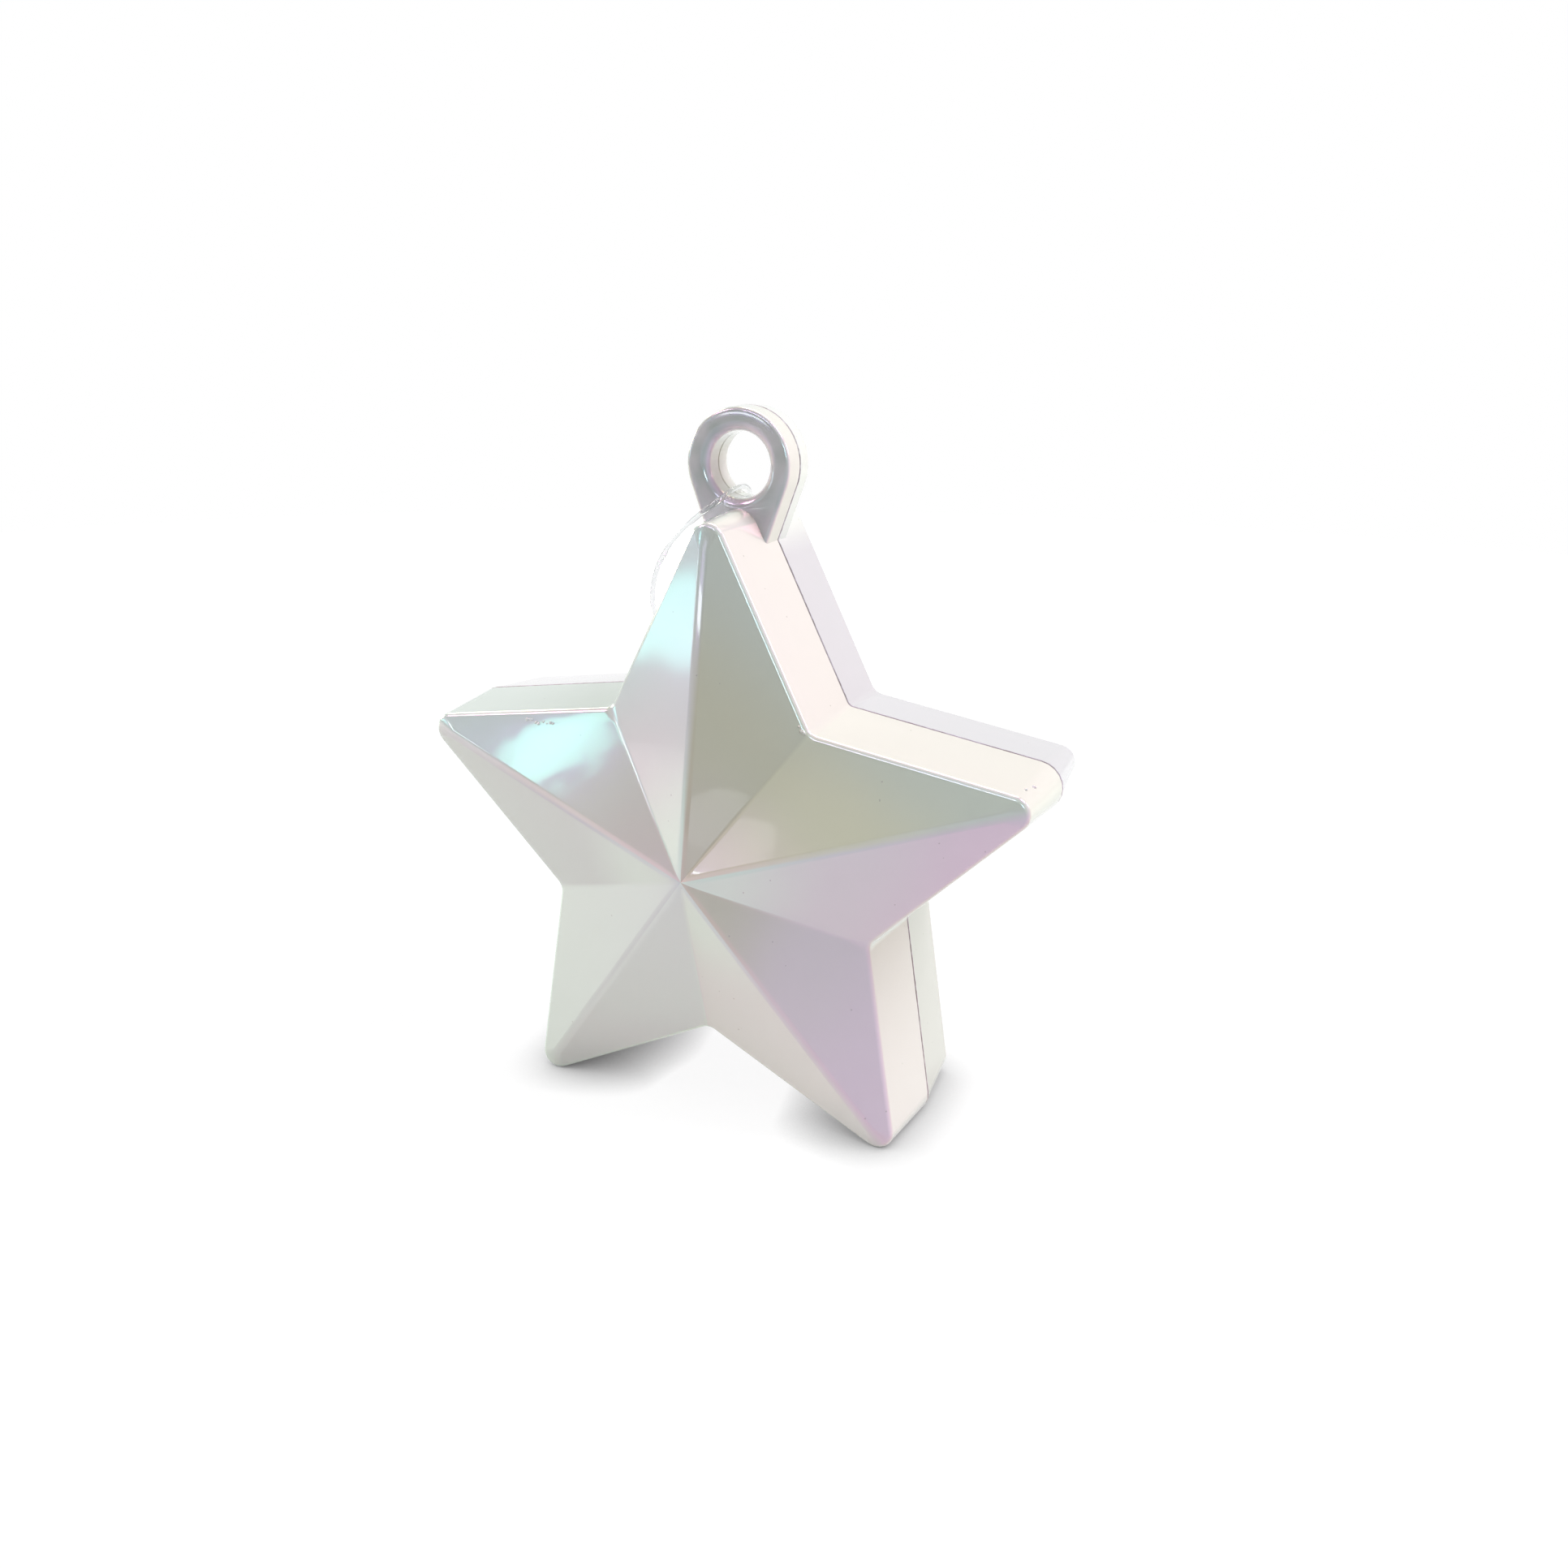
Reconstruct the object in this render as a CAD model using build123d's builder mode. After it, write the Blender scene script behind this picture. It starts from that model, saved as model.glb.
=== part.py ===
from build123d import *

import os
from math import atan, atan2, cos, pi, radians, sin, tan

# Balloon weight: two glued star-shaped half shells round a cast core, with a split hanging eye on the top
# tip and a clear filament loop through it. Millimetres, +Z up, front towards -Y, standing on Z = 0.
# The parting plane of the two shells is Y = 0, and both shells come from one mould.

# Star outline
POINTS = 5
STAR_RADIUS = 45.0  # centre to a sharp tip, on the parting plane
NOTCH_RADIUS = 22.8  # centre to an inner corner, on the parting plane
TIP_ROUND = 3.1  # radius of a tip on the parting plane
NOTCH_ROUND = 1.9  # radius of an inner corner on the parting plane
FOOT_TRIM = 0.94  # taken off the two lower tips, so that they stand flat

# Depth of one shell
WALL_DEPTH = 10.8  # parting plane to the rim
WALL_DRAFT = 5.2  # degrees
FACET_RISE = 7.1  # rim to the apex
RIM_ROUND = 0.7  # rounding of the edge between wall and facets
SEAM_BEVEL = 0.2  # broken edge along the parting plane, which leaves a fine groove between the shells
SHELL_WALL = 1.8
CAVITY_TIP_ROUND = 2.0  # radius of a tip of the cavity and of the core, on the parting plane

# Hanging eye
EYE_BORE_RADIUS = 3.8
EYE_LIMB = 2.8  # width of the ring round the bore
EYE_SILL = 0.75  # material between the bore and the star's rounded tip
EYE_HALF_DEPTH = 3.0
EYE_DRAFT = 2.5  # of the outside, in degrees
EYE_MOUTH_ROUND = 0.9
EYE_EDGE_ROUND = 0.5
EYE_NECK_ANGLE = 20.0  # slope of the neck's sides from the vertical, in degrees

# Locating pins
PIN_INSET = 14.0  # sharp tip of a side arm to its pin
PIN_RADIUS = 1.2
PIN_LENGTH = 2.5
PIN_CLEARANCE = 0.1
PIN_END_CLEARANCE = 0.3
BOSS_WALL = 1.1  # round the socket

# Core
CORE_CLEARANCE = 0.3

# Filament loop, from the front end of its lock round to the rear end, measured from the eye's centre
FILAMENT_DIAMETER = 0.6
LOOP_POINTS = [
    (-13.1, 7.0, -21.57),
    (-13.65, 5.46, -21.57),
    (-14.2, 3.95, -20.67),
    (-14.45, 3.0, -18.97),
    (-14.0, 1.9, -16.97),
    (-12.8, 0.3, -14.47),
    (-11.2, -1.3, -12.27),
    (-9.0, -2.8, -9.77),
    (-6.3, -3.7, -7.27),
    (-3.9, -3.95, -5.37),
    (-1.9, -3.85, -3.97),
    (-1.1, -2.6, -3.02),
    (-1.0, -0.6, -2.72),
    (-1.1, 1.6, -2.82),
    (-1.6, 3.8, -3.52),
    (-2.8, 6.4, -5.07),
    (-4.3, 9.3, -7.57),
    (-5.9, 12.2, -10.57),
    (-7.3, 14.6, -13.77),
    (-8.6, 16.1, -16.67),
    (-9.6, 16.6, -18.97),
    (-10.0, 15.7, -20.67),
    (-10.55, 14.14, -21.57),
    (-11.1, 12.6, -21.57),
]
ARC_SHARE = 0.45  # share of the shorter run that an arc takes

# Snap lock of the loop
LOCK_WIDTH = 3.0
LOCK_THICKNESS = 2.4
LOCK_NOSE = 1.5  # width and thickness of its ends
LOCK_TAPER = 1.4  # length of each tapered end
LOCK_ROUND = 0.5
LATCH_WINDOW_LENGTH = 2.0
LATCH_WINDOW_WIDTH = 1.2
LATCH_WINDOW_ROUND = 0.3

# Values that follow
point_step = pi / POINTS
tip_half_angle = atan2(NOTCH_RADIUS * sin(point_step), STAR_RADIUS - NOTCH_RADIUS * cos(point_step))
edge_distance = STAR_RADIUS * sin(tip_half_angle)
draft_slope = tan(radians(WALL_DRAFT))
facet_angle = atan(FACET_RISE / (edge_distance - WALL_DEPTH * draft_slope))
apex_depth = WALL_DEPTH + FACET_RISE
tip_centre = STAR_RADIUS - TIP_ROUND / sin(tip_half_angle)
stand_height = tip_centre * cos(point_step) + TIP_ROUND - FOOT_TRIM
eye_radius = EYE_BORE_RADIUS + EYE_LIMB
eye_height = stand_height + tip_centre + TIP_ROUND + EYE_SILL + EYE_BORE_RADIUS
socket_radius = PIN_RADIUS + PIN_CLEARANCE
boss_radius = socket_radius + BOSS_WALL
star_plane = Plane(origin=(0, 0, stand_height), x_dir=(1, 0, 0), z_dir=(0, -1, 0))
eye_plane = Plane(origin=(0, 0, eye_height), x_dir=(1, 0, 0), z_dir=(0, -1, 0))
pin_reach = STAR_RADIUS - PIN_INSET
pin_x = pin_reach * sin(2 * point_step)
pin_z = pin_reach * cos(2 * point_step)
pin_place = (pin_x, pin_z)
socket_place = (-pin_x, pin_z)


def star_corners(side_distance):
    """Sharp corners of a star whose sides lie side_distance from its centre, from the top tip round."""
    scale = side_distance / edge_distance
    radii = [STAR_RADIUS * scale, NOTCH_RADIUS * scale] * POINTS
    turns = [index * point_step for index in range(2 * POINTS)]
    return [(radius * sin(turn), radius * cos(turn)) for radius, turn in zip(radii, turns)]


def star_column(inset, tip_round):
    """Drafted star column from the parting plane to the apex, with its sides moved in by inset."""
    with BuildPart() as column:
        with BuildSketch(star_plane):
            with BuildLine():
                corners = star_corners(edge_distance - inset)
                FilletPolyline(*corners, radius=[tip_round, NOTCH_ROUND] * POINTS, close=True)
            make_face()
        extrude(amount=apex_depth, taper=WALL_DRAFT)
    return column.part


def facet_crown(inset):
    """Wide slab that carries the star pyramid of the facets, moved in by inset at right angles to them."""
    crown_apex = apex_depth - inset / cos(facet_angle)
    slab_depth = WALL_DEPTH / 2
    slab_width = 4 * STAR_RADIUS
    with BuildPart() as crown:
        with BuildSketch(star_plane):
            Rectangle(slab_width, slab_width)
        extrude(amount=slab_depth)
        with BuildSketch(star_plane.offset(slab_depth)) as skirt:
            with BuildLine():
                Polyline(*star_corners((crown_apex - slab_depth) / tan(facet_angle)), close=True)
            make_face()
        loft(sections=[skirt.sketch.face(), Vertex(0, -crown_apex, stand_height)])
    return crown.part


def faceted_half(inset, tip_round):
    """Half star from the parting plane to its apex, with every face moved in by inset."""
    column = star_column(inset, tip_round)
    crown = facet_crown(inset)
    with BuildPart() as half:
        add(column)
        add(crown, mode=Mode.INTERSECT)
    return half.part


# Half of the hanging eye, a ring with a neck that runs down into the tip
neck_angle = radians(EYE_NECK_ANGLE)
shoulder_x = eye_radius * cos(neck_angle)
shoulder_z = -eye_radius * sin(neck_angle)
neck_foot = -eye_radius / sin(neck_angle)
with BuildPart() as half_eye:
    with BuildSketch(eye_plane):
        Circle(eye_radius)
        with BuildLine():
            Polyline((shoulder_x, shoulder_z), (-shoulder_x, shoulder_z), (0, neck_foot), close=True)
        make_face()
    extrude(amount=EYE_HALF_DEPTH, taper=EYE_DRAFT)
    fillet(half_eye.faces().sort_by(Axis.Y)[0].edges(), radius=EYE_EDGE_ROUND)
    with BuildSketch(eye_plane):
        Circle(EYE_BORE_RADIUS)
    extrude(amount=EYE_HALF_DEPTH, mode=Mode.SUBTRACT)
    face_circles = half_eye.faces().sort_by(Axis.Y)[0].edges().filter_by(GeomType.CIRCLE)
    fillet(face_circles.sort_by(SortBy.RADIUS)[0], radius=EYE_MOUTH_ROUND)

# Bosses for the pin and the socket, ended half way through the facets' wall
boss_limit = faceted_half(SHELL_WALL / 2, CAVITY_TIP_ROUND)
with BuildPart() as bosses:
    with BuildSketch(star_plane):
        with Locations(pin_place, socket_place):
            Circle(boss_radius)
    extrude(amount=apex_depth)
    add(boss_limit, mode=Mode.INTERSECT)

# Front shell: rounded half star with its half of the eye, hollowed, with a pin, a socket and flat feet
outside = faceted_half(0, TIP_ROUND)
cavity = faceted_half(SHELL_WALL, CAVITY_TIP_ROUND)
with BuildPart() as front_shell:
    add(outside)
    rim_band = (-WALL_DEPTH - RIM_ROUND, -WALL_DEPTH + RIM_ROUND)
    fillet(front_shell.edges().filter_by_position(Axis.Y, *rim_band), radius=RIM_ROUND)
    add(half_eye.part)
    chamfer(front_shell.faces().sort_by(Axis.Y)[-1].outer_wire().edges(), length=SEAM_BEVEL)
    add(cavity, mode=Mode.SUBTRACT)
    add(bosses.part)
    with BuildSketch(star_plane):
        with Locations(pin_place):
            Circle(PIN_RADIUS)
    extrude(amount=-PIN_LENGTH)
    with BuildSketch(star_plane):
        with Locations(socket_place):
            Circle(socket_radius)
    extrude(amount=PIN_LENGTH + PIN_END_CLEARANCE, mode=Mode.SUBTRACT)
    split(bisect_by=Plane.XY, keep=Keep.TOP)

# Rear shell, the same moulding turned to face the other way
with BuildPart() as rear_shell:
    add(front_shell.part, rotation=(0, 0, 180))

# Cast core, clear of the shells, with a hole for each pair of bosses
core_half = faceted_half(SHELL_WALL + CORE_CLEARANCE, CAVITY_TIP_ROUND)
with BuildPart() as ballast_core:
    add(core_half)
    add(core_half, rotation=(0, 0, 180))
    with BuildSketch(star_plane):
        with Locations(pin_place, socket_place):
            Circle(boss_radius + CORE_CLEARANCE)
    extrude(amount=apex_depth, both=True, mode=Mode.SUBTRACT)

# Filament loop, a tube along straight runs and tangent arcs
eye_centre = Vector(0, 0, eye_height)
route = [eye_centre + Vector(*point) for point in LOOP_POINTS]
loop_radii = []
for before, corner, after in zip(route, route[1:], route[2:]):
    shorter_run = min((corner - before).length, (after - corner).length)
    half_turn = radians((corner - before).get_angle(after - corner)) / 2
    loop_radii.append(ARC_SHARE * shorter_run / tan(half_turn))
with BuildPart() as hang_loop:
    with BuildLine() as loop_path:
        FilletPolyline(*route, radius=loop_radii)
    with BuildSketch(Plane(origin=route[0], z_dir=route[1] - route[0])):
        Circle(FILAMENT_DIAMETER / 2)
    sweep()
loop_length = loop_path.wire().length
tube_volume = loop_length * pi * (FILAMENT_DIAMETER / 2) ** 2
print("loop radii", [round(radius, 2) for radius in loop_radii])
print("loop length", round(loop_length, 2), "volume", hang_loop.part.volume, "section by length", tube_volume)

# Snap lock between the two ends of the filament, tapered to a nose at each, with a latch window
lock_axis = route[0] - route[-1]
lock_plane = Plane(origin=route[-1], x_dir=lock_axis.cross(Vector(0, 0, 1)), z_dir=lock_axis)
lock_stations = [0, LOCK_TAPER, lock_axis.length - LOCK_TAPER, lock_axis.length]
nose = (LOCK_NOSE, LOCK_NOSE)
waist = (LOCK_WIDTH, LOCK_THICKNESS)
window_plane = Plane(origin=route[-1] + lock_axis / 2, x_dir=lock_axis, z_dir=lock_plane.y_dir)
with BuildPart() as loop_lock:
    for station, section in zip(lock_stations, [nose, waist, waist, nose]):
        with BuildSketch(lock_plane.offset(station)):
            RectangleRounded(*section, radius=LOCK_ROUND)
    loft(ruled=True)
    with BuildSketch(window_plane):
        RectangleRounded(LATCH_WINDOW_LENGTH, LATCH_WINDOW_WIDTH, radius=LATCH_WINDOW_ROUND)
    extrude(amount=LOCK_THICKNESS, both=True, mode=Mode.SUBTRACT)

pieces = {
    "front_shell": front_shell,
    "rear_shell": rear_shell,
    "ballast_core": ballast_core,
    "hang_loop": hang_loop,
    "loop_lock": loop_lock,
}
os.makedirs("parts", exist_ok=True)
for name, piece in pieces.items():
    piece.part.label = name
    export_step(piece.part, f"parts/{name}.step")
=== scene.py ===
"""Star-shaped balloon weight: pearl shells, seam glue, filament loop, studio and camera, in metres."""

import logging
import math
import random
from dataclasses import dataclass
from enum import Enum
from functools import reduce

import bmesh
import bpy
from bmesh.types import BMEdge, BMesh, BMVert
from bpy.types import ID, Material, Mesh, Node, NodeSocket, NodeTree, Object
from mathutils import Matrix, Vector, noise


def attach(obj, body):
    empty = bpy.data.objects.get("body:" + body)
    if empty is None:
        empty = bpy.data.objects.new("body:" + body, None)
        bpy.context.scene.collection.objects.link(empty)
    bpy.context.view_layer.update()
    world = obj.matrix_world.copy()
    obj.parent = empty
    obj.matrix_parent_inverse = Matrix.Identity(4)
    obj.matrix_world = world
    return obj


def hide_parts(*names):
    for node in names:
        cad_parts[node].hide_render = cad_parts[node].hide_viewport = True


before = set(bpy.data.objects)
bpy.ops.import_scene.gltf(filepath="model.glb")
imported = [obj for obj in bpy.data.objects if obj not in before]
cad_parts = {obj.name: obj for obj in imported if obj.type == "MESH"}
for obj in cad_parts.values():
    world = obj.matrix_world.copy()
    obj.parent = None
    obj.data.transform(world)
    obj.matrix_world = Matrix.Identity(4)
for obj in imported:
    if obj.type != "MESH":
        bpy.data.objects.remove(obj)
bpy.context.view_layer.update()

MM = 0.001
LOG = logging.getLogger("balloon_weight")
RISING = (0.0, 1.0)
FALLING = (1.0, 0.0)

Span = tuple[float, float]
Point = tuple[float, float, float]
Colour = tuple[float, float, float]
Value = float | NodeSocket
Paint = Colour | NodeSocket


class Body(str, Enum):
    """Moving bodies of the frame."""

    STAR = "star"
    TAG_LOOP = "tag_loop"


class Slot(str, Enum):
    """Material slots of the record that the dressed pieces use."""

    PEARL = "pearl_plastic"
    CLEAR = "clear_plastic"


class Half(Enum):
    """The two shells, each with its turn about the upright axis."""

    FRONT = 0.0
    REAR = math.pi


def new_object(name: str, data: ID) -> Object:
    """Links a new object to the scene.

    Args:
        name: Name of the object.
        data: The mesh, curve, camera or lamp that it holds.

    Returns:
        The object.
    """
    piece = bpy.data.objects.new(name, data)
    bpy.context.scene.collection.objects.link(piece)
    return piece


def mesh_of(bm: BMesh, name: str) -> Mesh:
    """Writes a bmesh to a new mesh and frees it.

    Args:
        bm: The bmesh, whose normals are made to point outwards.
        name: Name of the mesh.

    Returns:
        The mesh.
    """
    bmesh.ops.recalc_face_normals(bm, faces=bm.faces)
    mesh = bpy.data.meshes.new(name)
    bm.to_mesh(mesh)
    bm.free()
    return mesh


def object_of(bm: BMesh, name: str) -> Object:
    """Links a new object with the mesh of a bmesh, and frees the bmesh."""
    return new_object(name, mesh_of(bm, name))


def ring_edges(bm: BMesh, ring: list[BMVert]) -> list[BMEdge]:
    """The edges that join a closed ring of vertices in order."""
    return [bm.edges.get(pair) for pair in zip(ring, ring[1:] + ring[:1])]


def first_ring(bm: BMesh, places: list[Vector]) -> list[BMVert]:
    """Starts a mesh with a circle of vertices put at the given places.

    Args:
        bm: The bmesh.
        places: One place for each vertex of the ring, in order.

    Returns:
        The ring's vertices in order.
    """
    ring = bmesh.ops.create_circle(bm, segments=len(places), radius=1.0)["verts"]
    for vert, place in zip(ring, places):
        vert.co = place
    return ring


def next_ring(bm: BMesh, ring: list[BMVert], places: list[Vector]) -> list[BMVert]:
    """Extrudes a ring and puts the new ring at the given places.

    Args:
        bm: The bmesh.
        ring: The ring to extrude.
        places: One place for each new vertex, in the ring's order.

    Returns:
        The new ring's vertices in order.
    """
    made = bmesh.ops.extrude_edge_only(bm, edges=ring_edges(bm, ring))["geom"]
    fresh = {item for item in made if isinstance(item, BMVert)}
    grown = []
    for vert in ring:
        ends = (edge.other_vert(vert) for edge in vert.link_edges)
        grown.append(next(end for end in ends if end in fresh))
    for vert, place in zip(grown, places):
        vert.co = place
    return grown


def round_edges(bm: BMesh, edges: list[BMEdge], offset: float, segments: int) -> None:
    """Bevels edges to a round of the given offset."""
    bmesh.ops.bevel(
        bm, geom=edges, offset=offset, segments=segments, profile=0.5, affect="EDGES", material=-1
    )


def combine(target: Object, other: Object, operation: str) -> None:
    """Joins another solid to an object's mesh, or cuts it out, and removes the other object.

    Args:
        target: The object that keeps the result.
        other: The solid to join or cut.
        operation: UNION or DIFFERENCE.
    """
    step = target.modifiers.new("combine", "BOOLEAN")
    step.object = other
    step.operation = operation
    step.solver = "EXACT"
    bpy.context.view_layer.update()
    graph = bpy.context.evaluated_depsgraph_get()
    result = bpy.data.meshes.new_from_object(target.evaluated_get(graph))
    target.modifiers.remove(step)
    target.data = result
    bpy.data.objects.remove(other)


def cut_at_floor(bm: BMesh) -> None:
    """Cuts off what lies below the floor, and closes the cut.

    Args:
        bm: The bmesh, whose Z axis is up from the floor.
    """
    cut = bmesh.ops.bisect_plane(
        bm,
        geom=bm.verts[:] + bm.edges[:] + bm.faces[:],
        plane_co=Vector((0.0, 0.0, 0.0)),
        plane_no=Vector((0.0, 0.0, -1.0)),
        clear_outer=True,
    )["geom_cut"]
    open_edges = [item for item in cut if isinstance(item, BMEdge) and item.is_boundary]
    bmesh.ops.holes_fill(bm, edges=open_edges, sides=0)


@dataclass(frozen=True)
class StarForm:
    """Plan of the star, and the contours that its walls and facets follow."""

    points: int = 5
    tip_radius: float = 45.0 * MM
    notch_radius: float = 22.8 * MM
    tip_round: float = 3.1 * MM
    notch_round: float = 0.9 * MM
    foot_trim: float = 0.94 * MM
    wall_depth: float = 10.8 * MM
    wall_draft: float = math.radians(5.2)
    facet_rise: float = 7.1 * MM
    corner_segments: int = 8

    @property
    def step(self) -> float:
        """Angle from a tip to the next notch."""
        return math.pi / self.points

    @property
    def tip_half_angle(self) -> float:
        """Half of the angle at a sharp tip."""
        across = self.notch_radius * math.sin(self.step)
        return math.atan2(across, self.tip_radius - self.notch_radius * math.cos(self.step))

    @property
    def side_distance(self) -> float:
        """Distance from the centre to each side, on the parting plane."""
        return self.tip_radius * math.sin(self.tip_half_angle)

    @property
    def rim_inset(self) -> float:
        """How far the walls' draft has moved a side in at the rim."""
        return self.wall_depth * math.tan(self.wall_draft)

    @property
    def apex_depth(self) -> float:
        """Distance from the parting plane to the sharp apex."""
        return self.wall_depth + self.facet_rise

    @property
    def facet_slope(self) -> float:
        """Rise of a facet for its run from the rim to the apex."""
        return self.facet_rise / (self.side_distance - self.rim_inset)

    @property
    def tip_centre(self) -> float:
        """Distance from the centre to the middle of a tip's round."""
        return self.tip_radius - self.tip_round / math.sin(self.tip_half_angle)

    @property
    def centre_height(self) -> float:
        """Height of the star's centre above the surface that it stands on."""
        return self.tip_centre * math.cos(self.step) + self.tip_round - self.foot_trim

    def corner_arc(self, index: int, side: float, bend: float) -> list[tuple[float, float]]:
        """Points of one rounded corner, as places across and up from the star's centre.

        Args:
            index: Number of the corner, clockwise from the top tip. Odd corners are notches.
            side: Distance from the centre to the sides of this contour.
            bend: Radius of the corner.

        Returns:
            The points in clockwise order.
        """
        scale = side / self.side_distance
        heading = index * self.step
        if index % 2:
            turn = math.pi / 2 - self.tip_half_angle - self.step
            middle = self.notch_radius * scale + bend / math.cos(turn)
            swing = [math.pi + turn - 2 * turn * share for share in self.shares()]
        else:
            turn = math.pi / 2 - self.tip_half_angle
            middle = self.tip_radius * scale - bend / math.sin(self.tip_half_angle)
            swing = [-turn + 2 * turn * share for share in self.shares()]
        points = []
        for angle in swing:
            across = middle * math.sin(heading) + bend * math.sin(heading + angle)
            up = middle * math.cos(heading) + bend * math.cos(heading + angle)
            points.append((across, up))
        return points

    def shares(self) -> list[float]:
        """Even shares of a corner's arc."""
        return [part / self.corner_segments for part in range(self.corner_segments + 1)]

    def contour(self, depth: float, side: float, tip: float, notch: float) -> list[Vector]:
        """Rounded star outline in front of the parting plane.

        Args:
            depth: Distance in front of the parting plane.
            side: Distance from the centre to the sides.
            tip: Radius of the tips.
            notch: Radius of the notches.

        Returns:
            The outline's points in clockwise order.
        """
        places = []
        for index in range(2 * self.points):
            for across, up in self.corner_arc(index, side, notch if index % 2 else tip):
                places.append(Vector((across, -depth, self.centre_height + up)))
        return places

    def facet_frame(self, across: float, up: float) -> Matrix:
        """Place on the front facets, turned so that its Z axis stands out of the facet.

        Args:
            across: Distance to the right of the star's centre.
            up: Distance above the star's centre.

        Returns:
            The frame of the place.
        """
        heading = math.atan2(across, up)
        tip = round(heading / (2 * self.step)) * 2 * self.step
        lean = math.copysign(math.pi / 2 - self.tip_half_angle, heading - tip)
        facing = tip + lean
        side = math.hypot(across, up) * math.cos(heading - facing)
        depth = self.apex_depth - self.facet_slope * side
        slope = math.atan(self.facet_slope)
        flat = math.sin(slope)
        normal = Vector((math.sin(facing) * flat, -math.cos(slope), math.cos(facing) * flat))
        place = Vector((across, -depth, self.centre_height + up))
        return Matrix.Translation(place) @ normal.to_track_quat("Z", "Y").to_matrix().to_4x4()

    def wall(self, depth: float, inset: float) -> list[Vector]:
        """Outline of the walls moved in by inset, which changes the corners' radii as much."""
        side = self.side_distance - inset
        return self.contour(depth, side, self.tip_round - inset, self.notch_round + inset)


@dataclass
class HangingEye:
    """Half ring with a neck, which stands on the top tip of each shell."""

    form: StarForm
    bore_radius: float = 3.8 * MM
    limb: float = 2.78 * MM
    sill: float = 0.75 * MM
    half_depth: float = 3.0 * MM
    draft: float = math.radians(2.5)
    neck_angle: float = math.radians(20.0)
    mouth_round: float = 1.1 * MM
    mouth_segments: int = 8
    edge_round: float = 0.5 * MM
    edge_segments: int = 4
    segments: int = 96

    @property
    def height(self) -> float:
        """Height of the bore's axis."""
        tip_top = self.form.centre_height + self.form.tip_centre + self.form.tip_round
        return tip_top + self.sill + self.bore_radius

    def ring(self, depth: float, radius: float, necked: bool) -> list[Vector]:
        """Circle round the bore's axis, drawn out to a neck below where asked.

        Args:
            depth: Distance in front of the parting plane.
            radius: Radius of the circle.
            necked: Whether the lower part follows the neck's two slopes.

        Returns:
            The points in order, from the top.
        """
        shoulder = math.pi / 2 - self.neck_angle
        places = []
        for index in range(self.segments):
            angle = 2 * math.pi * index / self.segments
            below = abs(math.pi - angle)
            reach = radius
            if necked and below < shoulder:
                reach = radius / math.cos(shoulder - below)
            across, up = reach * math.sin(angle), reach * math.cos(angle)
            places.append(Vector((across, -depth, self.height + up)))
        return places

    def build(self, gap: float, bevel: float) -> Object:
        """Builds the half eye as a closed solid.

        Args:
            gap: Distance of the parting face from the parting plane.
            bevel: Broken edge along the parting face.

        Returns:
            The object, to be joined to a shell.
        """
        outer = self.bore_radius + self.limb
        narrowed = outer - self.half_depth * math.tan(self.draft)
        bm = bmesh.new()
        start = first_ring(bm, self.ring(gap, outer - bevel, True))
        wide = next_ring(bm, start, self.ring(gap + bevel, outer, True))
        face_edge = next_ring(bm, wide, self.ring(self.half_depth, narrowed, True))
        mouth = next_ring(bm, face_edge, self.ring(self.half_depth, self.bore_radius, False))
        back = next_ring(bm, mouth, self.ring(gap, self.bore_radius, False))
        bmesh.ops.bridge_loops(bm, edges=ring_edges(bm, back) + ring_edges(bm, start))
        face_edges, mouth_edges = ring_edges(bm, face_edge), ring_edges(bm, mouth)
        round_edges(bm, face_edges, self.edge_round, self.edge_segments)
        mouth_edges = [edge for edge in mouth_edges if edge.is_valid]
        round_edges(bm, mouth_edges, self.mouth_round, self.mouth_segments)
        return object_of(bm, "half_eye")


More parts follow.
